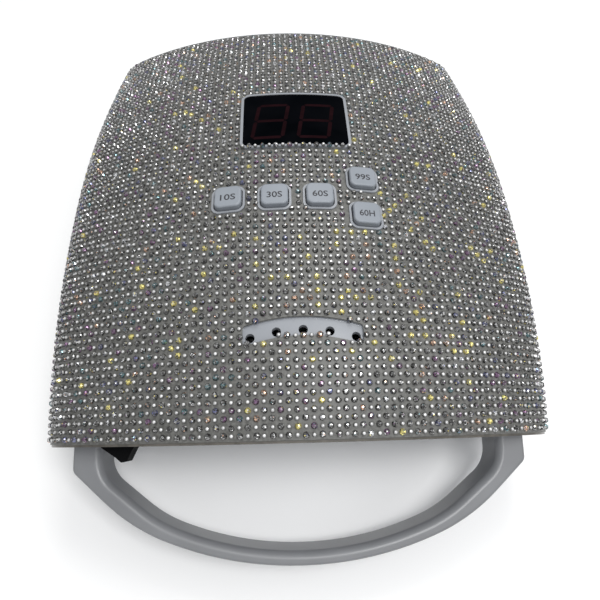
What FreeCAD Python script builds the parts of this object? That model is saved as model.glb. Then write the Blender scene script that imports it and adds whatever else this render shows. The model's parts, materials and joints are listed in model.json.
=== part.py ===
import FreeCAD, Part
import math
import os
from FreeCAD import Placement, Rotation, Vector

# Cordless nail-gel curing lamp, in millimetres.
# +Z is up, +Y is the side the hand goes in, -Y is the side with the carrying handle, +X is right.
# The origin is on the table under the middle of the whole lamp.

# Driving dimensions
BACK_RIM_Y = -111.65        # top of the back rim
# Points on the crest: forward of the back rim, height, and half the dome's width there over the crystals
CREST = [(0.0, 90.0, 105.6), (44.2, 103.5, 105.5), (90.5, 106.3, 106.5),
         (136.8, 104.1, 106.3), (182.7, 96.9, 103.9), (232.0, 84.9, 99.5)]
LEAN = math.radians(17.3)   # both rims lean back at the top by this angle from upright
ARCH_R = 168.0              # across the top
SHOULDER_R = 24.0           # where the top turns into a side
CRYSTALS = 1.8              # thickness of the crystal sheet
SHELL = 2.6                 # thickness of the moulded shell
RIM_BAND = 0.9              # bare shell edge beyond the crystal sheet
SHELL_FOOT_Z = 24.0         # lower edge of the shell
TRAY_Z = 2.5                # underside of the tray, on its rubber feet
TRAY = 2.5                  # thickness of the tray
TRAY_TOP = TRAY_Z + TRAY    # what the lamp stands on

DISPLAY_AT = (0.0, 144.2)   # x, and forward of the back rim
DISPLAY_SIZE = (48.8, 38.8)
DISPLAY_FRAME = 1.2         # width of the frame round its window
BUTTONS = {
    "button_10s": (-28.5, 96.7),
    "button_30s": (-9.7, 96.2),
    "button_60s": (8.7, 96.4),
    "button_99s": (27.0, 106.7),
    "button_60h": (27.1, 87.6),
}
BUTTON_SIZE = (11.1, 10.6)
BUTTON_PROUD = 1.9          # cap above the crystals
BUTTON_TRAVEL = 0.8
BUTTON_GAP = 0.4            # around a cap, in the shell
COLLAR = 0.9                # width of the shell's raised collar round a button
TACT_HEIGHT = 4.3           # switch under a button, above its board

VENT_R = 78.0               # arc that the vent holes lie on
VENT_Y = 38.7               # its most forward hole, from the back rim
VENT_PITCH = 9.77
VENT_HOLE_R = 1.7
VENT_REACH = 22.0           # half width of the vent strip
VENT_BAND = (4.4, 2.6)      # strip beyond and short of the arc of its holes

HANDLE_DROOP = math.radians(19.0)
HANDLE_TIP = (-33.2, 28.0)  # outermost top edge: forward of the back rim, and height
HANDLE_DEPTH = 19.0         # height of the grip's strap
LEG_ROOT = 70.0             # how far the legs run in from the tip's line
# Half of each edge of the handle in its own plane: x, distance in from the tip's line, corner radius
HANDLE_OUTER = [(95.8, LEG_ROOT, 0), (95.8, 39.5, 4.0), (70.5, 16.0, 85.0), (28.0, 0.0, 150.0)]
HANDLE_INNER = [(83.8, LEG_ROOT, 0), (83.8, 38.0, 14.0), (60.0, 18.6, 60.0), (26.0, 5.6, 140.0)]

TUNNEL_HALF = 84.0          # hand tunnel: half width, height, corner radius, wall
TUNNEL_TOP = 64.0
TUNNEL_R = 34.0
TUNNEL_WALL = 1.8
TUNNEL_BACK_Y = 42.0        # its rear wall, from the back rim

BOARD_Z = 88.4
BOARD = 1.6
CELL_R = 9.2
CELL_LENGTH = 65.0
PANEL_INSET = 3.0           # rear panel, in from the rim
ROCKER_AT = (-72.8, 55.0)   # x and height of the power switch
INLET_AT = (52.0, 52.0)     # x and height of the charging inlet
HANDLE_SCREW_AT = [(-90.0, 33.5), (90.0, 33.5)]
SCREW_AT = [(-92.6, 58.0), (92.6, 58.0), (-92.6, 214.0), (92.6, 214.0)]
FOOT_AT = [(-84.0, 42.0), (84.0, 42.0), (-84.0, 232.0), (84.0, 232.0)]
MAGNET_AT = [(-91.6, 76.0), (91.6, 76.0), (-91.6, 196.0), (91.6, 196.0)]
MAGNET_PAD = 11.0           # width of the pad round a magnet

DROP = Vector(0, math.sin(LEAN), -math.cos(LEAN))
OUT = Vector(0, -math.cos(HANDLE_DROOP), -math.sin(HANDLE_DROOP))
BIG = 400.0


def at(forward):
    """The Y of a place measured forward from the back rim."""
    return BACK_RIM_Y + forward


def save(name, shape):
    shape.exportStep(os.path.join("parts", name + ".step"))


def box(x0, x1, y0, y1, z0, z1):
    return Part.makeBox(x1 - x0, y1 - y0, z1 - z0, Vector(x0, y0, z0))


def rod(radius, length, start, direction=Vector(0, 0, 1)):
    return Part.makeCylinder(radius, length, start, direction)


def plate(width, length, thickness, radius, middle):
    """A flat rounded rectangle; middle is the centre of its underside."""
    slab = box(-width / 2, width / 2, -length / 2, length / 2, 0, thickness)
    upright = [e for e in slab.Edges if abs(e.Vertexes[0].Z - e.Vertexes[1].Z) > thickness / 2]
    slab = slab.makeFillet(radius, upright)
    slab.translate(middle)
    return slab


def joined(shapes):
    return shapes[0].multiFuse(shapes[1:]).removeSplitter()


def group(shapes):
    return Part.makeCompound(shapes)


# The domed body: one arched section carried along the crest without turning

def crest_curve():
    """The crest as a curve whose X carries the dome's half width."""
    curve = Part.BSplineCurve()
    curve.interpolate([Vector(half, at(f), z) for f, z, half in CREST])
    return curve


def crest_stations(count=9, beyond=8.0):
    """Points along the crest, run on in a straight line past both rims."""
    curve = crest_curve()
    first, last = curve.FirstParameter, curve.LastParameter
    inner = [curve.value(first + (last - first) * i / (count - 1)) for i in range(count)]
    head = inner[0] - curve.tangent(first)[0] * beyond
    tail = inner[-1] + curve.tangent(last)[0] * beyond
    return [head] + inner + [tail]


def section(station, inset):
    """The arched section, inset from the crystals' outer face, hung from a crest point."""
    radius, corner, wall = ARCH_R - inset, SHOULDER_R - inset, station.x - inset
    corner_x = station.x - SHOULDER_R
    corner_d = ARCH_R - math.sqrt((ARCH_R - SHOULDER_R) ** 2 - corner_x ** 2)
    turn = math.asin(corner_x / (ARCH_R - SHOULDER_R))

    def p(x, d):
        return Vector(x, station.y, station.z) + DROP * d

    def on_arch(angle):
        return p(radius * math.sin(angle), ARCH_R - radius * math.cos(angle))

    def on_corner(side, angle):
        return p(side * (corner_x + corner * math.sin(angle)), corner_d - corner * math.cos(angle))

    middle = (turn + math.pi / 2) / 2
    deep = 140.0
    edges = [
        Part.Arc(on_arch(-turn), on_arch(0), on_arch(turn)).toShape(),
        Part.Arc(on_arch(turn), on_corner(1, middle), p(wall, corner_d)).toShape(),
        Part.makeLine(p(wall, corner_d), p(wall, deep)),
        Part.makeLine(p(wall, deep), p(-wall, deep)),
        Part.makeLine(p(-wall, deep), p(-wall, corner_d)),
        Part.Arc(p(-wall, corner_d), on_corner(-1, middle), on_arch(-turn)).toShape(),
    ]
    return Part.Wire(edges)


def dome(inset):
    return Part.makeLoft([section(s, inset) for s in crest_stations()], True, False)


def between(start, end):
    """The slanted space from one rim plane to another, each a distance forward of a rim."""
    a = Vector(0, at(start), CREST[0][1])
    b = Vector(0, at(CREST[-1][0] + end), CREST[-1][1])
    corners = [a + Vector(x, 0, 0) + DROP * d for x, d in
               [(-BIG, -BIG), (BIG, -BIG), (BIG, BIG), (-BIG, BIG)]]
    return Part.Face(Part.makePolygon(corners + corners[:1])).extrude(b - a)


def above(height):
    return box(-BIG, BIG, -BIG, BIG, height, BIG)


def cap_block(size, radius, place, low, high):
    """An upright rounded block over a place on the dome."""
    return plate(size[0], size[1], high - low, radius, Vector(place[0], at(place[1]), low))


def vent_strip(low, high):
    """An upright crescent block round the vent holes."""
    centre = Vector(0, at(VENT_Y - VENT_R), low)
    outer, inner = VENT_R + VENT_BAND[0], VENT_R - VENT_BAND[1]
    ring = rod(outer, high - low, centre).cut(rod(inner, high - low, centre))
    strip = ring.common(box(-VENT_REACH, VENT_REACH, centre.y, at(VENT_Y + 12), low, high))
    upright = [e for e in strip.Edges if abs(e.Vertexes[0].Z - e.Vertexes[-1].Z) > 1]
    return strip.makeFillet(1.2, upright)


def vent_holes():
    holes = []
    for i in range(-2, 3):
        angle = i * VENT_PITCH / VENT_R
        spot = Vector(VENT_R * math.sin(angle), at(VENT_Y - VENT_R) + VENT_R * math.cos(angle), 80)
        holes.append(rod(VENT_HOLE_R, 40, spot))
    return holes


def button_blocks(margin, radius):
    """Upright blocks over the five buttons, larger than the caps by a margin."""
    size = (BUTTON_SIZE[0] + 2 * margin, BUTTON_SIZE[1] + 2 * margin)
    return [cap_block(size, radius, place, 85, 130) for place in BUTTONS.values()]


def display_block():
    return cap_block(DISPLAY_SIZE, 4.0, DISPLAY_AT, 85, 130)


def window_block():
    size = (DISPLAY_SIZE[0] - 2 * DISPLAY_FRAME, DISPLAY_SIZE[1] - 2 * DISPLAY_FRAME)
    return cap_block(size, 4.0 - DISPLAY_FRAME, DISPLAY_AT, 85, 130)


def crystal_sheet():
    skin = dome(0).cut(dome(CRYSTALS)).common(between(RIM_BAND, -RIM_BAND))
    skin = skin.common(above(SHELL_FOOT_Z + 1.5))
    cuts = button_blocks(BUTTON_GAP + COLLAR, 3.4) + [display_block(), vent_strip(85, 130)]
    return skin.cut(group(cuts))


def top_shell():
    shell = dome(CRYSTALS).cut(dome(CRYSTALS + SHELL)).common(between(0, 0)).common(above(SHELL_FOOT_Z))
    inside = dome(CRYSTALS + SHELL / 2)
    face = dome(0.6)
    collars = [block.common(face).cut(inside) for block in button_blocks(BUTTON_GAP + COLLAR, 3.4)]
    posts = []
    for x, f in SCREW_AT:
        post = rod(3.6, 60, Vector(x, at(f), 30)).cut(rod(1.3, 14, Vector(x, at(f), 30)))
        posts.append(post.common(inside))
    for x, f in board_posts():
        foot = Vector(x, at(f), BOARD_Z + BOARD)
        posts.append(rod(2.6, 40, foot).cut(rod(0.8, 3, foot)).common(inside))
    shell = joined([shell] + collars + posts)
    return shell.cut(group(button_blocks(BUTTON_GAP, 2.8) + [display_block(), vent_strip(85, 130)]))


# Display, vent and buttons

def display_bezel():
    return display_block().cut(window_block()).common(dome(0.1)).cut(dome(CRYSTALS + SHELL))


def display_window():
    return window_block().common(dome(0.5)).cut(dome(2.4))


def display_module():
    x, f = DISPLAY_AT
    body = plate(42, 33, 5.5, 1.0, Vector(x, at(f), BOARD_Z + BOARD))
    pins = [rod(0.4, 2.6, Vector(x + i * 5.0, at(f) + side * 14, BOARD_Z - 1.0))
            for i in range(-3, 4) for side in (-1, 1)]
    return joined([body] + pins)


def vent_grille():
    strip = vent_strip(85, 130).common(dome(2.6)).cut(dome(CRYSTALS + SHELL))
    return strip.cut(group(vent_holes()))


def lowest_top(shape):
    """The lowest corner of a block's domed top."""
    top = max(shape.Faces, key=lambda face: face.CenterOfMass.z)
    return min(v.Z for v in top.Vertexes)


def button(place):
    """A cap that follows the dome, a flange that keeps it in and a stem down to its switch."""
    cap = cap_block(BUTTON_SIZE, 2.5, place, 94, 130).common(dome(-BUTTON_PROUD))
    top = max(cap.Faces, key=lambda face: face.CenterOfMass.z)
    cap = cap.makeFillet(0.9, top.Edges)
    flange_size = (BUTTON_SIZE[0] + 3, BUTTON_SIZE[1] + 3)
    flange = cap_block(flange_size, 2.5, place, 94, 130).common(dome(CRYSTALS + SHELL + 0.2))
    below = box(-BIG, BIG, -BIG, BIG, 0, lowest_top(flange) - 1.0)
    switch_top = BOARD_Z + BOARD + TACT_HEIGHT
    stem = rod(1.8, 6, Vector(place[0], at(place[1]), switch_top + BUTTON_TRAVEL + 0.1))
    return joined([cap.cut(below), flange.cut(below), stem])


def tact_switches():
    switches = []
    for x, f in BUTTONS.values():
        case = plate(6, 6, 3.4, 0.4, Vector(x, at(f), BOARD_Z + BOARD))
        switches.append(joined([case, rod(1.6, TACT_HEIGHT, Vector(x, at(f), BOARD_Z + BOARD))]))
    return group(switches)


def board_posts():
    return [(-16, 79), (16, 79), (-32, 164), (32, 164)]


def control_board():
    board = plate(72, 92, BOARD, 3.0, Vector(0, at(121.5), BOARD_Z))
    x, f = DISPLAY_AT
    for i in range(-3, 4):
        for side in (-1, 1):
            board = board.cut(rod(0.5, 4, Vector(x + i * 5.0, at(f) + side * 14, BOARD_Z - 1)))
    for x, f in board_posts():
        board = board.cut(rod(1.2, 4, Vector(x, at(f), BOARD_Z - 1)))
    return board


def screw(radius, length, head_r, head, start, direction=Vector(0, 0, 1)):
    """A pan-head screw; start is the face under its head, and it runs along direction."""
    top = rod(head_r, head, start - direction * head, direction)
    slot = rod(head_r * 0.4, head * 0.6, start - direction * head, direction)
    return joined([top.cut(slot), rod(radius, length, start, direction)])


def board_screws():
    return group([screw(0.8, 4.4, 2.0, 1.4, Vector(x, at(f), BOARD_Z)) for x, f in board_posts()])


# Hand tunnel, its lamps and the bezel round its mouth

def tunnel_solid(grow, start, length):
    """The tunnel's arched outline, grown outwards, as an upright-ended block."""
    half, top, radius = TUNNEL_HALF + grow, TUNNEL_TOP + grow, TUNNEL_R + grow
    block = box(-half, half, at(start), at(start) + length, -20, top)
    ridge = [e for e in block.Edges if e.BoundBox.ZMin > top - 1 and e.BoundBox.YLength > length - 1]
    return block.makeFillet(radius, ridge)


def lamp_holes():
    """Where each light source shines through the tunnel wall, and which way it points."""
    spots = []
    for f in (66.0, 98.0, 130.0, 162.0, 194.0):
        for x in (-42.0, -14.0, 14.0, 42.0):
            spots.append((Vector(x, at(f), TUNNEL_TOP), Vector(0, 0, -1)))
        for side in (-1, 1):
            spots.append((Vector(side * TUNNEL_HALF, at(f), 21), Vector(-side, 0, 0)))
    for x in (-26.0, 26.0):
        spots.append((Vector(x, at(TUNNEL_BACK_Y), 34), Vector(0, 1, 0)))
    return spots


def hand_tunnel():
    wall = TUNNEL_WALL
    outer = tunnel_solid(wall, TUNNEL_BACK_Y - wall, 230)
    hollow = tunnel_solid(0, TUNNEL_BACK_Y, 240)
    liner = outer.cut(hollow).common(between(-BIG / 4, -5.0)).common(above(TRAY_TOP + 1.0))
    holes = [rod(3.0, 2 * wall + 2, spot - way * (wall + 1), way) for spot, way in lamp_holes()]
    holes += [rod(2.6, 8, Vector(x, at(218), TUNNEL_TOP - 2)) for x in (-9, 9)]
    return liner.cut(group(holes))


def light_sources():
    """Domed emitters that sit in the tunnel's holes."""
    domes = []
    for spot, way in lamp_holes():
        back = spot - way * (TUNNEL_WALL + 0.1)
        ball = Part.makeSphere(2.7, spot - way * 0.6)
        keep = rod(4, 8, spot - way * 0.6, way)
        domes.append(joined([rod(2.7, TUNNEL_WALL + 0.1 - 0.6, back, way), ball.common(keep)]))
    return group(domes)


def lamp_board(low, high):
    return box(low[0], high[0], at(low[1]), at(high[1]), low[2], high[2])


def top_lamp_board():
    z = TUNNEL_TOP + TUNNEL_WALL + 0.1
    return lamp_board((-48, 58, z), (48, 202, z + BOARD))


def side_lamp_boards():
    x = TUNNEL_HALF + TUNNEL_WALL + 0.1
    right = lamp_board((x, 60, 13), (x + BOARD, 202, 29))
    return group([right, right.mirror(Vector(0, 0, 0), Vector(1, 0, 0))])


def rear_lamp_board():
    f = TUNNEL_BACK_Y - TUNNEL_WALL - 0.1
    return lamp_board((-34, f - BOARD, 26), (34, f, 42))


def hand_sensors():
    """Two small lenses in the tunnel's roof that see the hand."""
    eyes = []
    for x in (-9, 9):
        base = rod(3.6, 3, Vector(x, at(218), TUNNEL_TOP + TUNNEL_WALL + 0.1))
        eyes.append(joined([base, rod(2.3, 3.2, Vector(x, at(218), TUNNEL_TOP - 1.0))]))
    return group(eyes)


def mouth_bezel():
    """The panel that closes the shell's front, round the tunnel's mouth."""
    panel = dome(CRYSTALS + SHELL + 0.1).common(between(CREST[-1][0] - 5.0, -2.0))
    panel = panel.common(above(SHELL_FOOT_Z + 2))
    return panel.cut(tunnel_solid(0, 150, 200))


# Battery

def cell_middles():
    base = TUNNEL_TOP + TUNNEL_WALL + 0.1 + BOARD + 1.4
    return [(x, f, base + CELL_R) for f in (108.0, 128.0) for x in (-CELL_LENGTH - 1.5, 1.5)]


def battery_cells():
    cells = []
    for x, f, z in cell_middles():
        can = rod(CELL_R, CELL_LENGTH - 1.2, Vector(x, at(f), z), Vector(1, 0, 0))
        nub = rod(2.6, CELL_LENGTH, Vector(x, at(f), z), Vector(1, 0, 0))
        cells.append(joined([can, nub]))
    return group(cells)


def battery_holder():
    z = cell_middles()[0][2]
    low = z - CELL_R - 1.2
    tray = box(-69, 69, at(97), at(139), low, z - 1)
    for x, f, _ in cell_middles():
        tray = tray.cut(rod(CELL_R + 0.05, CELL_LENGTH + 0.4, Vector(x - 0.2, at(f), z), Vector(1, 0, 0)))
    return tray


# Base ring, rear panel and what is on it

def ring_outline(inset, low, high):
    """The body's side and end walls carried on down, between two heights."""
    block = dome(inset).common(box(-BIG, BIG, -BIG, BIG, low, high))
    return block.common(between(inset, -inset))


def boss_tops():
    """The ring's screw bosses: place and height."""
    posts = [(x, f, 29.9) for x, f in SCREW_AT]
    return posts + [(x, f, 34.0) for x, f in HANDLE_SCREW_AT]


def base_ring():
    """Side and rear walls under the shell, with a lip inside it, screw bosses and magnet pads."""
    inner = 8.5
    band = ring_outline(CRYSTALS, TRAY_TOP, SHELL_FOOT_Z).cut(ring_outline(inner, 0, 60))
    lip = ring_outline(CRYSTALS + SHELL + 0.1, SHELL_FOOT_Z, SHELL_FOOT_Z + 5)
    lip = lip.cut(ring_outline(inner, 0, 60))
    mouth = TUNNEL_HALF + TUNNEL_WALL + 0.1
    ring = joined([band, lip]).cut(box(-mouth, mouth, at(150), BIG, -1, 60))
    extras = [rod(5.0, top - TRAY_TOP - 1, Vector(x, at(f), TRAY_TOP + 1)) for x, f, top in boss_tops()]
    for x, f in MAGNET_AT:
        extras.append(plate(MAGNET_PAD, 13, 6, 1.5, Vector(x, at(f), TRAY_TOP)))
    ring = joined([ring] + [e.common(ring_outline(CRYSTALS, 0, 60)) for e in extras])
    ring = ring.cut(group(leg_slots(0.1)))
    for x, f, top in boss_tops():
        ring = ring.cut(rod(1.7, 60, Vector(x, at(f), 0)))
        ring = ring.cut(rod(3.4, 16, Vector(x, at(f), 0)))
    for x, f in MAGNET_AT:
        ring = ring.cut(rod(4.1, 3.0, Vector(x, at(f), TRAY_TOP)))
    return ring


def shell_screws():
    return group([screw(1.3, 26, 3.0, 2.2, Vector(x, at(f), 16.0)) for x, f in SCREW_AT])


def leg_slots(gap):
    """The two passages that the handle's legs take through the rear panel."""
    legs = handle_prism(gap)
    return [legs.common(box(low, low + BIG, -BIG, BIG, -BIG, BIG)) for low in (-60 - BIG, 60)]


def rear_panel():
    """A slanted panel that closes the shell's back, a little inside the rim."""
    panel = dome(CRYSTALS + SHELL + 0.1).common(between(PANEL_INSET, -CREST[-1][0] + PANEL_INSET + 2.8))
    panel = panel.common(above(SHELL_FOOT_Z + 5.1))
    panel = panel.cut(group(leg_slots(0.1)))
    panel = panel.cut(on_panel(plate(11.4, 17.2, 30, 0.6, Vector(0, 0, -15)), ROCKER_AT, 90))
    panel = panel.cut(on_panel(rod(4.05, 30, Vector(0, 0, -15)), INLET_AT))
    return panel


def on_panel(shape, place, spin=0):
    """Puts a shape drawn flat, facing +Z with +Y at its top, on the rear panel's outer face.

    Spin turns it about its own middle first, in degrees.
    """
    x, z = place
    y = at(PANEL_INSET) + (CREST[0][1] - z) * math.tan(LEAN)
    out = Vector(0, -math.cos(LEAN), -math.sin(LEAN))
    up = DROP * -1
    turn = Rotation(up.cross(out), up, out, "ZYX").multiply(Rotation(Vector(0, 0, 1), spin))
    turned = shape.copy()
    turned.Placement = Placement(Vector(x, y, z), turn).multiply(turned.Placement)
    return turned


def rounded_path(points):
    """Straight runs joined by tangent arcs; each point is x, y and the radius of its corner."""
    edges, last = [], Vector(points[0][0], points[0][1], 0)
    for before, here, after in zip(points, points[1:], points[2:]):
        corner = Vector(here[0], here[1], 0)
        back = (Vector(before[0], before[1], 0) - corner).normalize()
        ahead = (Vector(after[0], after[1], 0) - corner).normalize()
        half = back.getAngle(ahead) / 2
        reach = here[2] / math.tan(half)
        start, end = corner + back * reach, corner + ahead * reach
        bisector = (back + ahead).normalize()
        middle = corner + bisector * (here[2] / math.sin(half) - here[2])
        edges += [Part.makeLine(last, start), Part.Arc(start, middle, end).toShape()]
        last = end
    return edges + [Part.makeLine(last, Vector(points[-1][0], points[-1][1], 0))]


def whole(half, grow):
    """A handle edge from one leg's root to the other's; grow moves it out, for a passage."""
    right = [(x + grow, y, r) for x, y, r in half]
    return right + [(-x, y, r) for x, y, r in reversed(right)]


def handle_prism(grow):
    """The handle before its edges are rounded, or with grow the space its legs need."""
    outer = rounded_path(whole(HANDLE_OUTER, grow))
    inner = rounded_path(whole(HANDLE_INNER, -grow))
    roots = [Part.makeLine(Vector(s * (HANDLE_OUTER[0][0] + grow), LEG_ROOT, 0),
                           Vector(s * (HANDLE_INNER[0][0] - grow), LEG_ROOT, 0)) for s in (1, -1)]
    outline = Part.Wire(Part.__sortEdges__(outer + inner + roots))
    solid = Part.Face(outline).extrude(Vector(0, 0, HANDLE_DEPTH + 2 * grow))
    solid.translate(Vector(0, 0, -HANDLE_DEPTH - grow))
    solid.Placement = handle_place().multiply(solid.Placement)
    return solid


def handle_place():
    """From the handle's own plane, where its tip is at the origin, to where it hangs."""
    up = Vector(0, -math.sin(HANDLE_DROOP), math.cos(HANDLE_DROOP))
    turn = Rotation(Vector(1, 0, 0), OUT * -1, up, "ZXY")
    return Placement(Vector(0, at(HANDLE_TIP[0]), HANDLE_TIP[1]), turn)


def carry_handle():
    """A flat-topped bow; its top is rounded widely towards the hand and slightly outside."""
    solid = handle_prism(0)
    local = handle_place().inverse()
    inside, outside = [], []
    for edge in solid.Edges:
        middle = local.multVec(edge.valueAt((edge.FirstParameter + edge.LastParameter) / 2))
        ends = [local.multVec(v.Point) for v in edge.Vertexes]
        if abs(ends[0].z - ends[1].z) > 1 or middle.y > LEG_ROOT - 0.5:
            continue
        if ends[0].z > -0.5 and inner_side(middle):
            inside.append(edge)
        else:
            outside.append(edge)
    solid = solid.makeFillet(3.2, inside)
    outside = [e for e in solid.Edges if any(e.CenterOfMass.isEqual(o.CenterOfMass, 0.01) for o in outside)]
    solid = solid.makeFillet(1.2, outside)
    for x, f in HANDLE_SCREW_AT:
        solid = solid.cut(rod(1.3, 30, Vector(x, at(f), 10)))
    return solid


def inner_side(point):
    """Whether a point of the handle's outline is on the edge towards the hand."""
    gaps = []
    for half in (HANDLE_OUTER, HANDLE_INNER):
        path = Part.Wire(Part.__sortEdges__(rounded_path(whole(half, 0))))
        gaps.append(path.distToShape(Part.Vertex(Vector(point.x, point.y, 0)))[0])
    return gaps[1] < gaps[0]


def handle_screws():
    return group([screw(1.3, 21, 3.0, 1.8, Vector(x, at(f), 16.0)) for x, f in HANDLE_SCREW_AT])


def power_switch_body():
    """The switch lies on its side: flat-drawn -Y ends up at +X."""
    flange = plate(13.0, 19.0, 1.6, 1.2, Vector(0, 0, 0))
    case = plate(11.2, 17.0, 13.0, 0.6, Vector(0, 0, -13.0))
    well = plate(9.2, 14.8, 9.0, 0.6, Vector(0, 0, -5.0))
    blades = [box(-3, 3, y - 0.4, y + 0.4, -19, -12) for y in (-4.5, 4.5)]
    pin = rod(1.0, 10.4, Vector(-5.2, 0, -0.6), Vector(1, 0, 0))
    return on_panel(joined([joined([flange, case]).cut(well), pin] + blades), ROCKER_AT, 90)


def power_rocker():
    """The rocking key: a long slope, a rounded crest and a steep end that clears its well as it turns."""
    outline = [(-7.1, -0.8), (7.1, -0.8), (7.1, 3.4), (1.2, 7.4), (-1.0, 9.3), (-3.2, 9.0),
               (-5.2, 4.6), (-6.8, 2.2), (-7.1, -0.8)]
    profile = Part.makePolygon([Vector(0, y, z) for y, z in outline])
    key = Part.Face(profile).extrude(Vector(8.8, 0, 0))
    key.translate(Vector(-4.4, 0, 0))
    crest = [e for e in key.Edges if e.Length > 8 and e.CenterOfMass.z > 7]
    key = key.makeFillet(0.8, crest)
    boss = rod(2.2, 8.8, Vector(-4.4, 0, -0.6), Vector(1, 0, 0))
    hole = rod(1.05, 12.0, Vector(-6.0, 0, -0.6), Vector(1, 0, 0))
    return on_panel(joined([key, boss]).cut(hole), ROCKER_AT, 90)


def charge_inlet():
    """A round socket with a centre pin, held in the rear panel."""
    flange = rod(5.2, 1.4, Vector(0, 0, 0))
    barrel = rod(4.0, 12.0, Vector(0, 0, -12.0))
    bore = rod(2.8, 9.5, Vector(0, 0, -8.0))
    pin = rod(1.0, 8.0, Vector(0, 0, -9.0))
    return on_panel(joined([joined([flange, barrel]).cut(bore), pin]), INLET_AT)


def charge_board():
    """A small level board behind the charging inlet."""
    length, depth, low = 40.0, 14.0, 36.5
    middle = INLET_AT[0] - 2
    return box(middle - length / 2, middle + length / 2, at(24.0), at(24.0) + depth, low, low + BOARD)


# Tray under the lamp

def base_tray():
    """A plate a little inside the body's walls, with rounded corners."""
    inset = 1.5
    half = CREST[0][2] - inset
    tray = box(-half, half, -BIG, BIG, TRAY_Z, TRAY_TOP).common(between(inset, -inset))
    corners = [e for e in tray.Edges if abs(e.Vertexes[0].Z - e.Vertexes[1].Z) > TRAY / 2]
    tray = tray.makeFillet(7.0, corners).common(dome(inset))
    for x, f in FOOT_AT:
        tray = tray.cut(rod(4.05, 1.0, Vector(x, at(f), TRAY_Z)))
    for x, f in MAGNET_AT:
        tray = tray.cut(rod(4.05, 2.0, Vector(x, at(f), TRAY_TOP - 1.7)))
    return tray


def tray_mirror():
    """A bright sheet on the tray, under the hand."""
    return plate(2 * TUNNEL_HALF - 8, 186, 0.4, 6.0, Vector(0, at(148), TRAY_TOP))


def rubber_feet():
    return group([rod(4.0, TRAY_Z + 0.9, Vector(x, at(f), 0)) for x, f in FOOT_AT])


def tray_magnets():
    return group([rod(4.0, 1.7, Vector(x, at(f), TRAY_TOP - 1.7)) for x, f in MAGNET_AT])


def ring_magnets():
    return group([rod(4.0, 2.9, Vector(x, at(f), TRAY_TOP + 0.1)) for x, f in MAGNET_AT])


PIECES = {
    "crystal_sheet": crystal_sheet,
    "top_shell": top_shell,
    "display_bezel": display_bezel,
    "display_window": display_window,
    "display_module": display_module,
    "vent_grille": vent_grille,
    "tact_switches": tact_switches,
    "control_board": control_board,
    "board_screws": board_screws,
    "hand_tunnel": hand_tunnel,
    "light_sources": light_sources,
    "top_lamp_board": top_lamp_board,
    "side_lamp_boards": side_lamp_boards,
    "rear_lamp_board": rear_lamp_board,
    "hand_sensors": hand_sensors,
    "mouth_bezel": mouth_bezel,
    "battery_cells": battery_cells,
    "battery_holder": battery_holder,
    "base_ring": base_ring,
    "shell_screws": shell_screws,
    "rear_panel": rear_panel,
    "carry_handle": carry_handle,
    "handle_screws": handle_screws,
    "power_switch_body": power_switch_body,
    "power_rocker": power_rocker,
    "charge_inlet": charge_inlet,
    "charge_board": charge_board,
    "base_tray": base_tray,
    "tray_mirror": tray_mirror,
    "rubber_feet": rubber_feet,
    "tray_magnets": tray_magnets,
    "ring_magnets": ring_magnets,
}

os.makedirs("parts", exist_ok=True)
for name, make in PIECES.items():
    save(name, make())
for name, place in BUTTONS.items():
    save(name, button(place))
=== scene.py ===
import json
import math
import random

import bmesh
import bpy
import numpy as np
from mathutils import Matrix, Vector
from mathutils.bvhtree import BVHTree


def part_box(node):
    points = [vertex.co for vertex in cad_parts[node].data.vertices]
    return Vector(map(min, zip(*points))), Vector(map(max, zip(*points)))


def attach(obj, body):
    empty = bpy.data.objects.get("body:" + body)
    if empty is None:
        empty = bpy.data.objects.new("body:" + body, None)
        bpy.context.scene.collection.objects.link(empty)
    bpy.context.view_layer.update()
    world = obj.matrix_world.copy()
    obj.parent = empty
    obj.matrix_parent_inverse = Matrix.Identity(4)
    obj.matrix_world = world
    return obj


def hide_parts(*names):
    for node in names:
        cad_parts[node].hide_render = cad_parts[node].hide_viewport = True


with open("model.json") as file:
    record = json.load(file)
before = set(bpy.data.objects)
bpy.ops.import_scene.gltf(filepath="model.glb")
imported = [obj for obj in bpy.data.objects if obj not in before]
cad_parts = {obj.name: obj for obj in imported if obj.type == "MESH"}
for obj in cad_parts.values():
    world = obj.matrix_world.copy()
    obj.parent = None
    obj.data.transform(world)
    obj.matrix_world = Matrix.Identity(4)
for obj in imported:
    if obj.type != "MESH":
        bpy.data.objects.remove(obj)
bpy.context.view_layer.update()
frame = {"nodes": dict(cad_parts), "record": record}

NODES = frame["nodes"]
random.seed(7)
DICE = np.random.default_rng(11)

# Driving dimensions, in metres, as the CAD model has them
BACK_RIM_Y = -0.11165
# Points on the crest: forward of the back rim, height, and half the dome's width there
CREST = [(0.0, 0.0900, 0.1056), (0.0442, 0.1035, 0.1055), (0.0905, 0.1063, 0.1065),
         (0.1368, 0.1041, 0.1063), (0.1827, 0.0969, 0.1039), (0.2320, 0.0849, 0.0995)]
LEAN = math.radians(17.3)
ARCH_R = 0.168
SHOULDER_R = 0.024
CRYSTALS = 0.0018       # CAD thickness of the crystal sheet
SHEET = 0.0005          # the sheet that the stones are set on

# The stones
PITCH = 0.0029          # square lattice, stones and beads in turn
RIM_MARGIN = 0.0044     # from the outermost rows to the two rims, together
ROW_SHIFT = -0.0008     # brings a row onto the display's near frame
SECTION_REACH = 0.185   # half the section's length, crest to foot, or more
SEEK = 0.004            # how far from its computed place a stone's seat is looked for
EDGE_MARGIN = 0.0003    # from a stone's middle to the edge of the sheet
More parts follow.
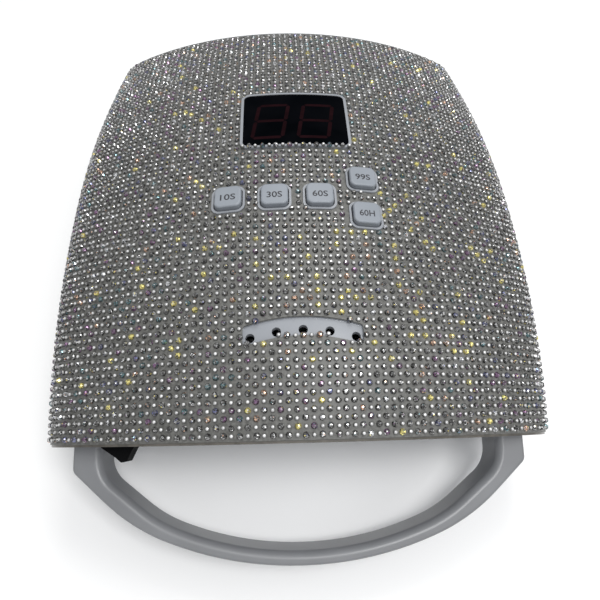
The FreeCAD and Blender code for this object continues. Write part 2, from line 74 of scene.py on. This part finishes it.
# How far stones may sit over the near edge of a frame
OVERHANGS = {"display_bezel": 0.0017, "vent_grille": 0.0004}
FRAME_DEPTH = 0.0001    # how far those stones are sunk under the crystals' outer face
RIM_TINT = (0.0015, 0.0025)     # forward of the back rim, where the rim's tint starts to fade and ends
STONE_R = 0.00128
STONE_H = 0.0012
BEAD_R = 0.00088
TILT = 0.05             # how unevenly the stones are set: lean, in radians, and sideways place
SWAY = 0.00008

SIDES = 8               # of a stone and of a bead

DROP = Vector((0, math.sin(LEAN), -math.cos(LEAN)))     # the way down a wall of the dome

# The view: where the camera stands, from the middle of the back rim at the table, and how it is turned
VIEW_FROM = (-0.00871, -0.0547, 0.2836)
VIEW_PITCH, VIEW_YAW, VIEW_ROLL = math.radians(60.0), math.radians(4.306), math.radians(2.72)
LENS = 34.1
FLOOR_REACH = 3.0


# Camera and stage

def camera():
    data = bpy.data.cameras.new("camera")
    data.sensor_width = 36.0
    data.lens = LENS
    data.clip_start = 0.01
    cam = bpy.data.objects.new("camera", data)
    bpy.context.scene.collection.objects.link(cam)
    x, y, z = VIEW_FROM
    place = Vector((x, BACK_RIM_Y + y, z))
    turn = Matrix.Rotation(math.pi / 2 - VIEW_PITCH, 4, "X") @ Matrix.Rotation(VIEW_ROLL, 4, "Z")
    cam.matrix_world = Matrix.Translation(place) @ Matrix.Rotation(-VIEW_YAW, 4, "Z") @ turn
    bpy.context.scene.camera = cam


def area_light(name, size, energy, place, target, color=(1, 1, 1)):
    data = bpy.data.lights.new(name, "AREA")
    data.shape = "RECTANGLE"
    data.size, data.size_y = size
    data.energy = energy
    data.color = color
    obj = bpy.data.objects.new(name, data)
    bpy.context.scene.collection.objects.link(obj)
    obj.location = place
    obj.rotation_euler = (Vector(target) - Vector(place)).to_track_quat("-Z", "Y").to_euler()


def stage():
    mesh = bpy.data.meshes.new("floor")
    reach = FLOOR_REACH
    corners = [(-reach, -reach, 0), (reach, -reach, 0), (reach, reach, 0), (-reach, reach, 0)]
    mesh.from_pydata(corners, [], [(0, 1, 2, 3)])
    floor = bpy.data.objects.new("floor", mesh)
    bpy.context.scene.collection.objects.link(floor)
    mat, _, shader = material("floor_paper")
    shader.inputs["Base Color"].default_value = (0.93, 0.93, 0.93, 1)
    shader.inputs["Roughness"].default_value = 0.9
    floor.data.materials.append(mat)
    bpy.context.scene.view_settings.view_transform = "Standard"
    bpy.context.scene.world = sky()
    area_light("key", (0.35, 0.35), 5.6, (0.22, -0.28, 1.05), (0, -0.05, 0.05))
    area_light("back", (0.3, 0.3), 2.4, (0.1, 0.45, 0.95), (0, 0, 0.08), (1.0, 0.99, 0.97))
    area_light("side", (0.5, 0.3), 1.4, (1.0, -0.1, 0.7), (0, 0, 0.05))


def sky():
    """Soft light from overhead that fades towards the horizon."""
    world = bpy.data.worlds.new("studio")
    world.use_nodes = True
    tree = world.node_tree
    coords = tree.nodes.new("ShaderNodeTexCoord")
    split = tree.nodes.new("ShaderNodeSeparateXYZ")
    tree.links.new(coords.outputs["Generated"], split.inputs["Vector"])
    fade = tree.nodes.new("ShaderNodeValToRGB")
    fade.color_ramp.elements[0].position = 0.05
    fade.color_ramp.elements[0].color = (0.22, 0.22, 0.23, 1)
    fade.color_ramp.elements[1].position = 0.8
    fade.color_ramp.elements[1].color = (0.98, 0.99, 1.0, 1)
    tree.links.new(split.outputs["Z"], fade.inputs["Fac"])
    back = tree.nodes["Background"]
    tree.links.new(fade.outputs["Color"], back.inputs["Color"])
    back.inputs["Strength"].default_value = 0.75
    return world


# Materials

def material(name):
    mat = bpy.data.materials.new(name)
    mat.use_nodes = True
    tree = mat.node_tree
    return mat, tree, tree.nodes["Principled BSDF"]


def noise(tree, scale, detail=3.0):
    """A noise pattern over the object's own coordinates."""
    coords = tree.nodes.new("ShaderNodeTexCoord")
    pattern = tree.nodes.new("ShaderNodeTexNoise")
    pattern.inputs["Scale"].default_value = scale
    pattern.inputs["Detail"].default_value = detail
    tree.links.new(coords.outputs["Object"], pattern.inputs["Vector"])
    return pattern


def ramp(tree, source, low, high, start=0.35, end=0.65):
    """A colour ramp from low to high over a pattern."""
    node = tree.nodes.new("ShaderNodeValToRGB")
    node.color_ramp.elements[0].position = start
    node.color_ramp.elements[1].position = end
    node.color_ramp.elements[0].color = (*low, 1)
    node.color_ramp.elements[1].color = (*high, 1)
    tree.links.new(source, node.inputs["Fac"])
    return node.outputs["Color"]


def spread(tree, source, low, high):
    """Maps a pattern to a range of numbers."""
    node = tree.nodes.new("ShaderNodeMapRange")
    node.inputs["From Min"].default_value = 0.3
    node.inputs["From Max"].default_value = 0.7
    node.inputs["To Min"].default_value = low
    node.inputs["To Max"].default_value = high
    tree.links.new(source, node.inputs["Value"])
    return node.outputs["Result"]


def color_by(tree, shader, pattern, low, high):
    tree.links.new(ramp(tree, pattern.outputs["Fac"], low, high), shader.inputs["Base Color"])


def rough_by(tree, shader, pattern, low, high):
    tree.links.new(spread(tree, pattern.outputs["Fac"], low, high), shader.inputs["Roughness"])


def color_by_tone_and_painted_light(tree, shader):
    """Takes the colour from the tone stored for each face of the mesh, which on the stones and beads holds
    painted glints, reflections and highlights.
    """
    tone_and_painted_light = tree.nodes.new("ShaderNodeAttribute")
    tone_and_painted_light.attribute_name = "tone_and_painted_light"
    tree.links.new(tone_and_painted_light.outputs["Color"], shader.inputs["Base Color"])


def grain(tree, shader, source, strength, distance):
    node = tree.nodes.new("ShaderNodeBump")
    node.inputs["Strength"].default_value = strength
    node.inputs["Distance"].default_value = distance
    tree.links.new(source, node.inputs["Height"])
    tree.links.new(node.outputs["Normal"], shader.inputs["Normal"])


def moulded(name, color, rough=(0.28, 0.4), fine=2600.0, depth=0.00003, coat=0.0, vary=0.06, shine=0.5):
    """Moulded plastic: a fine grain, a little uneven in gloss and tone."""
    mat, tree, shader = material(name)
    broad = noise(tree, 35.0)
    small = noise(tree, fine, 2.0)
    low = tuple(c * (1 - vary) for c in color)
    high = tuple(min(1.0, c * (1 + vary)) for c in color)
    color_by(tree, shader, broad, low, high)
    rough_by(tree, shader, broad, *rough)
    grain(tree, shader, small.outputs["Fac"], 0.25, depth)
    shader.inputs["Specular IOR Level"].default_value = shine
    shader.inputs["Coat Weight"].default_value = coat
    shader.inputs["Coat Roughness"].default_value = 0.12
    return mat


def metal(name, color, rough=(0.18, 0.32), fine=900.0):
    mat, tree, shader = material(name)
    streak = noise(tree, fine, 2.0)
    low = tuple(c * 0.88 for c in color)
    color_by(tree, shader, streak, low, color)
    rough_by(tree, shader, streak, *rough)
    shader.inputs["Metallic"].default_value = 1.0
    return mat


def crystal_glaze():
    """Foil-backed stones under a clear coat: each facet's tone is painted, with painted glints and painted
    colour flashes for the light the stones reflect.
    """
    mat, tree, shader = material("crystal_glaze")
    color_by_tone_and_painted_light(tree, shader)
    shader.inputs["Metallic"].default_value = 0.7
    shader.inputs["Coat Weight"].default_value = 0.35
    shader.inputs["Coat Roughness"].default_value = 0.03
    dirt = noise(tree, 1400.0)
    rough_by(tree, shader, dirt, 0.08, 0.2)
    return mat


def bead_metal():
    """Silver beads, coloured by their tones: a painted highlight on the cap, over a grey shoulder."""
    mat, tree, shader = material("bead_metal")
    color_by_tone_and_painted_light(tree, shader)
    shader.inputs["Metallic"].default_value = 0.25
    wear = noise(tree, 1800.0)
    rough_by(tree, shader, wear, 0.25, 0.35)
    return mat


def sheet_ground():
    """The grey resin between the stones, with pits and a dusting of lighter specks."""
    mat, tree, shader = material("sheet_ground")
    speck = noise(tree, 900.0, 4.0)
    color_by(tree, shader, speck, (0.085, 0.085, 0.079), (0.15, 0.15, 0.142))
    rough_by(tree, shader, speck, 0.35, 0.6)
    grain(tree, shader, speck.outputs["Fac"], 0.6, 0.0002)
    return mat


def smoked():
    """The display's window, nearly black and without a highlight."""
    mat, tree, shader = material("smoked_window")
    haze = noise(tree, 60.0)
    color_by(tree, shader, haze, (0.0012, 0.0016, 0.0022), (0.0028, 0.003, 0.004))
    rough_by(tree, shader, haze, 0.06, 0.14)
    shader.inputs["Specular IOR Level"].default_value = 0.0
    return mat


def circuit():
    """Green solder mask with a lighter grid of tracks."""
    mat, tree, shader = material("circuit_board")
    coords = tree.nodes.new("ShaderNodeTexCoord")
    cells = tree.nodes.new("ShaderNodeTexBrick")
    cells.inputs["Scale"].default_value = 160.0
    cells.inputs["Mortar Size"].default_value = 0.04
    cells.inputs["Color1"].default_value = (0.012, 0.085, 0.04, 1)
    cells.inputs["Color2"].default_value = (0.015, 0.1, 0.05, 1)
    cells.inputs["Mortar"].default_value = (0.05, 0.2, 0.09, 1)
    tree.links.new(coords.outputs["Object"], cells.inputs["Vector"])
    tree.links.new(cells.outputs["Color"], shader.inputs["Base Color"])
    gloss = noise(tree, 120.0)
    rough_by(tree, shader, gloss, 0.25, 0.4)
    return mat


def emitter():
    """A light source: clear resin, yellow from the die inside it."""
    mat, tree, shader = material("emitter")
    glow = noise(tree, 420.0)
    color_by(tree, shader, glow, (0.75, 0.62, 0.2), (0.9, 0.86, 0.6))
    rough_by(tree, shader, glow, 0.08, 0.18)
    shader.inputs["Coat Weight"].default_value = 0.8
    return mat


def shell_grey(name):
    return moulded(name, (0.275, 0.29, 0.315), (0.24, 0.34), coat=0.2, vary=0.03)


SLOT_MATERIALS = {
    "crystals": sheet_ground,
    "grey_shell": lambda: shell_grey("grey_shell"),
    "handle_grey": lambda: moulded("handle_grey", (0.205, 0.21, 0.22), (0.34, 0.44), coat=0.1),
    "key_grey": lambda: moulded("key_grey", (0.245, 0.268, 0.30), (0.4, 0.5)),
    "smoked_window": smoked,
    "black_plastic": lambda: moulded("black_plastic", (0.004, 0.004, 0.0045), (0.55, 0.7), shine=0.04),
    "circuit_board": circuit,
    "screw_steel": lambda: metal("screw_steel", (0.62, 0.62, 0.6)),
    "bright_liner": lambda: moulded("bright_liner", (0.78, 0.79, 0.8), (0.12, 0.22), coat=0.4, vary=0.02),
    "led_lens": emitter,
    "sensor_lens": lambda: moulded("sensor_lens", (0.03, 0.006, 0.01), (0.08, 0.15), coat=0.6),
    "cell_can": lambda: moulded("cell_can", (0.03, 0.12, 0.32), (0.2, 0.3), coat=0.5),
    "mirror_sheet": lambda: metal("mirror_sheet", (0.86, 0.87, 0.88), (0.05, 0.12), 200.0),
    "foot_rubber": lambda: moulded("foot_rubber", (0.02, 0.02, 0.021), (0.7, 0.85)),
    "magnet_plate": lambda: metal("magnet_plate", (0.66, 0.66, 0.68), (0.15, 0.25)),
}


def rim_tinted(mat):
    """Tints a plastic a darker, mottled brownish grey beyond the crystals, in a narrow band along the back
    rim.
    """
    tree = mat.node_tree
    shader = tree.nodes["Principled BSDF"]
    plain = shader.inputs["Base Color"].links[0].from_socket
    coords = tree.nodes.new("ShaderNodeTexCoord")
    ahead = tree.nodes.new("ShaderNodeVectorMath")
    ahead.operation = "DOT_PRODUCT"
    ahead.inputs[1].default_value = (0, math.cos(LEAN), math.sin(LEAN))
    tree.links.new(coords.outputs["Object"], ahead.inputs[0])
    rim = BACK_RIM_Y * math.cos(LEAN) + CREST[0][1] * math.sin(LEAN)
    near = tree.nodes.new("ShaderNodeMapRange")
    near.inputs["From Min"].default_value = rim + RIM_TINT[0]
    near.inputs["From Max"].default_value = rim + RIM_TINT[1]
    near.inputs["To Min"].default_value = 1.0
    near.inputs["To Max"].default_value = 0.0
    tree.links.new(ahead.outputs["Value"], near.inputs["Value"])
    mix = tree.nodes.new("ShaderNodeMix")
    mix.data_type = "RGBA"
    tree.links.new(near.outputs["Result"], mix.inputs["Factor"])
    tree.links.new(plain, mix.inputs["A"])
    rim_mottle = noise(tree, 300.0).outputs["Fac"]
    tree.links.new(ramp(tree, rim_mottle, (0.075, 0.07, 0.06), (0.12, 0.11, 0.095)), mix.inputs["B"])
    tree.links.new(mix.outputs["Result"], shader.inputs["Base Color"])
    return mat


def dress_nodes():
    """Gives each CAD node its procedural material; the top shell alone has the tinted rim."""
    made = {slot: make() for slot, make in SLOT_MATERIALS.items()}
    rim = rim_tinted(shell_grey("shell_rim"))
    for part in frame["record"]["subparts"]:
        mesh = NODES[part["node"]].data
        mesh.materials.clear()
        mesh.materials.append(rim if part["node"] == "top_shell" else made[part["material_slot"]])
    return made


# The dome's surface, as a place for every stone

class Crest:
    """A smooth curve through the crest's points, read by its length."""

    def __init__(self):
        pts = np.array([(BACK_RIM_Y + f, z, half) for f, z, half in CREST])
        knots = np.r_[0, np.cumsum(np.hypot(*np.diff(pts[:, :2], axis=0).T))]
        fine = np.linspace(0, knots[-1], 2001)
        curve = np.stack([self.spline(knots, pts[:, i], fine) for i in range(3)], 1)
        self.length = np.r_[0, np.cumsum(np.hypot(*np.diff(curve[:, :2], axis=0).T))]
        self.curve = curve
        self.total = self.length[-1]

    @staticmethod
    def spline(t, y, at):
        """A natural cubic spline."""
        n = len(t)
        h = np.diff(t)
        a = np.eye(n)
        b = np.zeros(n)
        for i in range(1, n - 1):
            a[i, i - 1:i + 2] = h[i - 1], 2 * (h[i - 1] + h[i]), h[i]
            b[i] = 6 * ((y[i + 1] - y[i]) / h[i] - (y[i] - y[i - 1]) / h[i - 1])
        m = np.linalg.solve(a, b)
        k = np.clip(np.searchsorted(t, at) - 1, 0, n - 2)
        u, w = at - t[k], t[k + 1] - at
        line = (y[k] / h[k] - m[k] * h[k] / 6) * w + (y[k + 1] / h[k] - m[k + 1] * h[k] / 6) * u
        return (m[k] * w ** 3 + m[k + 1] * u ** 3) / (6 * h[k]) + line

    def at(self, s):
        """The crest's point, its direction and half the dome's width, at a length s along it."""
        y, z, half = (np.interp(s, self.length, self.curve[:, i]) for i in range(3))
        step = 0.0005
        y0, z0 = (np.interp(s - step, self.length, self.curve[:, i]) for i in (0, 1))
        y1, z1 = (np.interp(s + step, self.length, self.curve[:, i]) for i in (0, 1))
        return Vector((0, y, z)), Vector((0, y1 - y0, z1 - z0)).normalized(), half


def across(v, half):
    """Sideways place, drop and slope angle at a length v along the section from the crest."""
    corner_x = half - SHOULDER_R
    corner_d = ARCH_R - math.sqrt((ARCH_R - SHOULDER_R) ** 2 - corner_x ** 2)
    turn = math.asin(corner_x / (ARCH_R - SHOULDER_R))
    arch, shoulder = ARCH_R * turn, SHOULDER_R * (math.pi / 2 - turn)
    a = abs(v)
    if a < arch:
        angle = a / ARCH_R
        x, d = ARCH_R * math.sin(angle), ARCH_R * (1 - math.cos(angle))
    elif a < arch + shoulder:
        angle = turn + (a - arch) / SHOULDER_R
        x, d = corner_x + SHOULDER_R * math.sin(angle), corner_d - SHOULDER_R * math.cos(angle)
    else:
        angle = math.pi / 2
        x, d = half, corner_d + a - arch - shoulder
    return math.copysign(x, v), d, math.copysign(angle, v)


def dome_site(crest, s, v):
    """The place on the crystals' outer face, with its sideways and outward directions."""
    base, along, half = crest.at(s)
    x, d, angle = across(v, half)
    side = Vector((math.cos(angle), 0, 0)) + DROP * math.sin(angle)
    out = side.cross(along).normalized()
    return base + Vector((x, 0, 0)) + DROP * d, side, out


# Stones and beads

def ring(radius, height, scale, shift=0.0):
    angles = [shift + i * 2 * math.pi / SIDES for i in range(SIDES)]
    return [(radius * math.cos(a) * scale, radius * math.sin(a) * scale, height) for a in angles]


def stone_template():
    """A flat-backed stone with eight sides, two rows of facets and a low star on its table."""
    verts = []
    for level, (radius, height) in enumerate([(1.0, 0.10), (0.80, 0.62), (0.52, 1.0)]):
        verts += ring(radius, height * STONE_H, STONE_R, math.pi / SIDES * (level % 2))
    faces = []
    for low in (0, SIDES):
        high = low + SIDES
        for i in range(SIDES):
            j = (i + 1) % SIDES
            if low == 0:
                faces += [(low + i, low + j, high + i), (low + j, high + j, high + i)]
            else:
                faces += [(low + i, low + j, high + j), (low + i, high + j, high + i)]
    return capped(verts, faces, 1.06 * STONE_H)


def bead_template():
    """A low round bead, flattened where it is set into the sheet."""
    verts = []
    for radius, height in [(0.92, -0.10), (1.0, 0.30), (0.86, 0.85), (0.60, 1.15)]:
        verts += ring(radius, height * BEAD_R, BEAD_R)
    faces = []
    for low in range(0, len(verts) - SIDES, SIDES):
        for i in range(SIDES):
            j = (i + 1) % SIDES
            faces.append((low + i, low + j, low + SIDES + j, low + SIDES + i))
    return capped(verts, faces, 1.36 * BEAD_R)


def capped(verts, faces, tip):
    """Closes the last ring with a fan up to a tip, and the first with one flat face."""
    top = len(verts) - SIDES
    verts = verts + [(0, 0, tip)]
    fan = [(top + i, top + (i + 1) % SIDES, len(verts) - 1) for i in range(SIDES)]
    return np.array(verts), faces + fan + [tuple(range(SIDES - 1, -1, -1))]


def scatter(name, template, sites, colors, smooth):
    """One mesh of many copies of a template, each in its own place, with a tone for each face."""
    verts, faces = template
    count, size = len(sites), len(verts)
    frames = np.array([[*site] for site, _ in sites])
    turns = np.array([turn for _, turn in sites])
    all_verts = frames[:, None, :] + np.einsum("nij,kj->nki", turns, verts)
    mesh = bpy.data.meshes.new(name)
    loops = np.concatenate([np.array(f) for f in faces])
    sizes = np.array([len(f) for f in faces])
    starts = np.r_[0, np.cumsum(sizes)[:-1]]
    mesh.vertices.add(count * size)
    mesh.vertices.foreach_set("co", all_verts.reshape(-1))
    mesh.loops.add(count * len(loops))
    copies = np.arange(count)[:, None]
    mesh.loops.foreach_set("vertex_index", (loops[None] + size * copies).reshape(-1))
    mesh.polygons.add(count * len(faces))
    mesh.polygons.foreach_set("loop_start", (starts[None] + len(loops) * copies).reshape(-1))
    mesh.update(calc_edges=True)
    mesh.polygons.foreach_set("use_smooth", np.full(count * len(faces), smooth))
    # per-face tones, with painted glints, reflections and highlights among them
    tone_and_painted_light = mesh.color_attributes.new("tone_and_painted_light", "FLOAT_COLOR", "CORNER")
    per_loop = np.repeat(colors.reshape(-1, 3), np.tile(sizes, count), axis=0)
    tone_and_painted_light.data.foreach_set("color", np.c_[per_loop, np.ones(len(per_loop))].reshape(-1))
    mesh.validate()
    return add_piece(name, mesh)


def tree_of(mesh):
    return BVHTree.FromPolygons([v.co for v in mesh.vertices], [p.vertices for p in mesh.polygons])


def add_piece(name, mesh):
    obj = bpy.data.objects.new(name, mesh)
    bpy.context.scene.collection.objects.link(obj)
    return obj


# Painted reflections, the colours that the stones throw back: yellow, peach, mauve, teal, blue and plain
# mirror
FLASHES = np.array([(0.95, 0.82, 0.30), (0.70, 0.45, 0.32), (0.26, 0.15, 0.26), (0.14, 0.24, 0.26),
                    (0.16, 0.17, 0.30), (0.75, 0.76, 0.78)])
# How often each is seen over the whole dome, in the warm patch and in the cool patch
SHARES = np.array([(0.025, 0.03, 0.08, 0.08, 0.06, 0.04), (0.15, 0.05, 0.06, 0.05, 0.04, 0.04),
                   (0.03, 0.05, 0.12, 0.16, 0.12, 0.05)])
# The patches where the painted warm and the painted cool flashes gather, each as a middle and a reach
WARM_PATCH = ((0.018, -0.055), (0.040, 0.050))
COOL_PATCH = ((-0.010, 0.100), (0.090, 0.022))
# A facet whose draw is above the first number is a faint painted glint, above the second a bright one
FAINT_GLINT, BRIGHT_GLINT = 0.66, 0.93
YELLOW_LIT, OTHERS_LIT = 0.75, 0.5      # share of a flashing stone's facets that are painted as lit
SPECKS = 0.05                           # share of single facets painted with a reflected colour, on any stone


def patch(places, where):
    """How far each place is within a soft round patch, from 0 to 1."""
    (x, y), (reach_x, reach_y) = where
    return np.exp(-((places[:, 0] - x) / reach_x) ** 2 - ((places[:, 1] - y) / reach_y) ** 2)[:, None]


def stone_tones_and_painted_glints(count, facets, places):
    """A colour for each facet of each stone: dark glass with painted thin glints, now and then a painted
    clear flash of reflected colour.
    """
    tones = DICE.uniform(0.025, 0.17, (count, facets, 1)) * np.array([1.0, 0.99, 0.96])
    glint = DICE.uniform(0, 1, (count, facets, 1))
    # painted glints, faint and then bright
    tones = np.where(glint > FAINT_GLINT, DICE.uniform(0.16, 0.42, (count, facets, 1)), tones)
    tones = np.where(glint > BRIGHT_GLINT, DICE.uniform(0.6, 0.98, (count, facets, 1)), tones)
    warm, cool = patch(places, WARM_PATCH), patch(places, COOL_PATCH)
    shares = SHARES[0] * (1 - np.maximum(warm, cool)) + SHARES[1] * warm + SHARES[2] * cool
    pick = (DICE.uniform(0, 1, (count, 1)) > np.cumsum(shares, axis=1)).sum(1)
    # painted colour flashes: a share of each flashing stone's facets lit in its colour
    for kind, color in enumerate(FLASHES):
        mine = np.where(pick == kind)[0]
        lit = DICE.uniform(0, 1, (len(mine), facets, 1)) < (YELLOW_LIT if kind == 0 else OTHERS_LIT)
        glow = color * DICE.uniform(0.5, 1.2, (len(mine), facets, 1))
        tones[mine] = np.where(lit, glow, tones[mine])
    speck = DICE.uniform(0, 1, (count, facets, 1)) < SPECKS
    hue = FLASHES[DICE.integers(0, len(FLASHES), (count, facets))]
    return np.clip(np.where(speck, hue, tones), 0.008, 0.98)


def stone_sites():
    """Lattice places on the sheet, as (centre, rotation) pairs, for stones and for beads."""
    crest = Crest()
    tree = tree_of(NODES["crystal_sheet"].data)
    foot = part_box("crystal_sheet")[0].z + STONE_R
    stones, beads = [], []
    rows = int((crest.total - RIM_MARGIN) / PITCH) + 1
    columns = int(SECTION_REACH / PITCH)
    start = (crest.total - (rows - 1) * PITCH) / 2 + ROW_SHIFT
    for i in range(rows):
        for j in range(-columns, columns + 1):
            point, side, out = dome_site(crest, start + i * PITCH, j * PITCH)
            ahead = out.cross(side)
            seat = seat_at(tree, point, side, ahead, out)
            if seat is None or seat.z < foot:
                continue
            turn = Matrix((side, ahead, out)).transposed()
            is_stone = (i + j) % 2 == 0
            if is_stone:
                tilt_x = Matrix.Rotation(random.gauss(0, TILT), 3, "X")
                tilt_y = Matrix.Rotation(random.gauss(0, TILT), 3, "Y")
                spin = Matrix.Rotation(random.uniform(0, 2 * math.pi / SIDES), 3, "Z")
                turn = turn @ (tilt_x @ tilt_y) @ spin
            sway = side * random.gauss(0, SWAY) + ahead * random.gauss(0, SWAY)
            (stones if is_stone else beads).append((seat + sway, np.array(turn)))
    return stones, beads


def on_sheet(tree, place, out):
    return tree.ray_cast(place + out * SEEK, -out, 2 * SEEK)[0]


def overhang(point):
    """How far a stone may sit over the frame of the opening that a place is in; none over a key's."""
    for node, reach in OVERHANGS.items():
        low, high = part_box(node)
        if low.x < point.x < high.x and low.y < point.y < high.y:
            return reach
    return 0


def seat_at(tree, point, side, ahead, out):
    """Where a stone sits: on the sheet, or over the near edge of the display or the vent strip, or None."""
    hit = on_sheet(tree, point, out)
    ways = (side, -side, -ahead, ahead)
    if hit is not None and all(on_sheet(tree, hit + way * EDGE_MARGIN, out) for way in ways):
        return hit - out * (CRYSTALS - SHEET)
    over = ahead * overhang(point)
    low = on_sheet(tree, point - over, out)
    if over.length == 0 or low is None or on_sheet(tree, point + over, out) is not None:
        return None
    return low + over - out * FRAME_DEPTH


def halves(sites):
    return [[s for s in sites if s[0].x < 0], [s for s in sites if s[0].x >= 0]]


def inner_faces(mesh):
    """The faces of the CAD skin that lie on the shell, without the walls of its openings."""
    found = []
    straight_down, inward = -0.9, -0.5
    near_side = 0.9 * CREST[-1][2]
    for face in mesh.polygons:
        x, z = face.center.x, face.normal.z
        outward = Vector((x / CREST[0][2], 0, 1)).normalized()
        foot = abs(x) > near_side and z < straight_down
        if face.normal.dot(outward) < inward and not foot:
            found.append(tuple(face.vertices))
    return found


def ground_sheet(material):
    """The sheet under the stones: the CAD skin, its outer face drawn in to the sheet's own thickness."""
    mesh = NODES["crystal_sheet"].data.copy()
    mesh.name = "ground_sheet"
    tree = BVHTree.FromPolygons([v.co for v in mesh.vertices], inner_faces(mesh))
    for vert in mesh.vertices:
        hit, _, _, gap = tree.find_nearest(vert.co)
        if gap > CRYSTALS / 2:
            vert.co = hit + (vert.co - hit).normalized() * SHEET
    mesh.materials.clear()
    mesh.materials.append(material)
    piece = add_piece("ground_sheet", mesh)
    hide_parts("crystal_sheet")
    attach(piece, "lamp")


def bead_tones_and_painted_highlight(count, facets):
    """A painted highlight: a bright cap with a softer ring below it, on a grey shoulder."""
    tones = np.ones((count, facets, 3)) * np.array([0.15, 0.15, 0.143])
    highlight_cap = slice(facets - SIDES - 1, facets - 1)
    # painted highlight on the cap, and its softer edge on the ring below
    tones[:, highlight_cap] = DICE.uniform(0.5, 0.85, (count, 1, 1))
    tones[:, highlight_cap.start - SIDES:highlight_cap.start] = DICE.uniform(0.22, 0.36, (count, 1, 1))
    return tones


def crystals(materials):
    stones, beads = stone_sites()
    glaze, silver = crystal_glaze(), bead_metal()
    for side, sites in zip(("left", "right"), halves(stones)):
        template = stone_template()
        places = np.array([[*s[0]] for s in sites])
        tones = stone_tones_and_painted_glints(len(sites), len(template[1]), places)
        piece = scatter("crystals_" + side, template, sites, tones, False)
        finish_piece(piece, glaze, "lamp")
    for side, sites in zip(("left", "right"), halves(beads)):
        template = bead_template()
        piece = scatter("beads_" + side, template, sites, bead_tones_and_painted_highlight(len(sites), len(template[1])), True)
        finish_piece(piece, silver, "lamp")
    ground_sheet(materials["crystals"])


def finish_piece(piece, mat, body):
    piece.data.materials.append(mat)
    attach(piece, body)


# Lettering and the display's digits

LEGENDS = {"10S": "10s", "30S": "30s", "60S": "60s", "99S": "99s", "60H": "60h"}
LEGEND_SIZE = (0.0062, 0.0030)
LEGEND_LOW = 0.0007         # how far a legend sits towards the back rim from its key's middle
CUT = 0.0008                # spacing of the cuts that let a flat mesh follow a curved face
DIGIT = (0.0150, 0.0245)    # width and height of a display digit
DIGIT_MIDDLES = (-0.0109, 0.0094)
STROKE = 0.0017
DIGIT_LOW = 0.0017          # how far the digits sit below the middle of the window
SLANT = 0.14
LEGEND_LIFT = 0.00004       # over the key, and over the window
DIGIT_LIFT = 0.00003
ABOVE = 0.3                 # a height over everything


def on_surface(mesh, node, lift):
    """Lays a flat mesh, drawn at the node's X and Y, on the top of a CAD node."""
    cut_up(mesh)
    tree = tree_of(NODES[node].data)
    for vert in mesh.vertices:
        hit = tree.ray_cast(Vector((vert.co.x, vert.co.y, ABOVE)), Vector((0, 0, -1)))[0]
        vert.co.z = hit.z + lift


def ink():
    mat, tree, shader = material("legend_ink")
    wear = noise(tree, 1500.0)
    color_by(tree, shader, wear, (0.018, 0.018, 0.022), (0.04, 0.04, 0.046))
    shader.inputs["Roughness"].default_value = 0.6
    return mat


def legends():
    black = ink()
    for text, key in LEGENDS.items():
        low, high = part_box("button_" + key)
        curve = bpy.data.curves.new("text_" + key, "FONT")
        curve.body = text
        curve.resolution_u = 4
        curve.offset = 0.012
        drawn = bpy.data.objects.new("text_" + key, curve)
        mesh = bpy.data.meshes.new_from_object(drawn)
        bpy.data.objects.remove(drawn)
        bpy.data.curves.remove(curve)
        co = np.array([v.co[:2] for v in mesh.vertices])
        flat = (co - (co.max(0) + co.min(0)) / 2) / np.ptp(co, axis=0) * LEGEND_SIZE
        middle = (low + high) / 2
        for vert, (x, y) in zip(mesh.vertices, flat):
            vert.co = (middle.x + x, middle.y - LEGEND_LOW + y, 0)
        on_surface(mesh, "button_" + key, LEGEND_LIFT)
        mesh.name = "legend_" + key
        finish_piece(add_piece("legend_" + key, mesh), black, "key_" + key)


def cut_up(mesh):
    """Cuts a flat mesh along an even grid, so that it can follow a curved face."""
    co = np.array([v.co[:2] for v in mesh.vertices])
    bm = bmesh.new()
    bm.from_mesh(mesh)
    for axis in (0, 1):
        normal = (1, 0, 0) if axis == 0 else (0, 1, 0)
        for place in np.arange(co[:, axis].min() + CUT / 2, co[:, axis].max(), CUT):
            spot = [place * n for n in normal]
            everything = bm.verts[:] + bm.edges[:] + bm.faces[:]
            bmesh.ops.bisect_plane(bm, geom=everything, plane_co=spot, plane_no=normal)
    bmesh.ops.triangulate(bm, faces=bm.faces[:])
    bm.to_mesh(mesh)
    bm.free()


def bar(start, end):
    """A display segment with pointed ends, as the corners of its outline."""
    start, end = Vector(start), Vector(end)
    along = (end - start).normalized()
    side = Vector((-along.y, along.x)) * STROKE / 2
    tip = along * STROKE / 2
    gap = along * STROKE * 0.15
    start, end = start + gap, end - gap
    return [start, start + tip - side, end - tip - side, end, end - tip + side, start + tip + side]


def digits():
    """Two unlit seven-segment digits, just visible in the window."""
    low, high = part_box("display_window")
    middle = (low + high) / 2
    w, h = DIGIT[0] / 2 - STROKE / 2, DIGIT[1] / 2 - STROKE / 2
    lines = [((-w, h), (w, h)), ((-w, 0), (w, 0)), ((-w, -h), (w, -h)),
             ((-w, 0), (-w, h)), ((w, 0), (w, h)), ((-w, -h), (-w, 0)), ((w, -h), (w, 0))]
    verts, faces = [], []
    for x in DIGIT_MIDDLES:
        for start, end in lines:
            faces.append(tuple(range(len(verts), len(verts) + 6)))
            for p in bar(start, end):
                verts.append((middle.x + x + p.x + SLANT * p.y, middle.y + p.y - DIGIT_LOW, 0))
    mesh = bpy.data.meshes.new("display_digits")
    mesh.from_pydata(verts, [], faces)
    on_surface(mesh, "display_window", DIGIT_LIFT)
    mat, tree, shader = material("unlit_segment")
    fade = noise(tree, 150.0)
    color_by(tree, shader, fade, (0.009, 0.0035, 0.0045), (0.014, 0.0048, 0.0062))
    shader.inputs["Specular IOR Level"].default_value = 0.0
    finish_piece(add_piece("display_digits", mesh), mat, "lamp")


camera()
stage()
MADE = dress_nodes()
crystals(MADE)
legends()
digits()
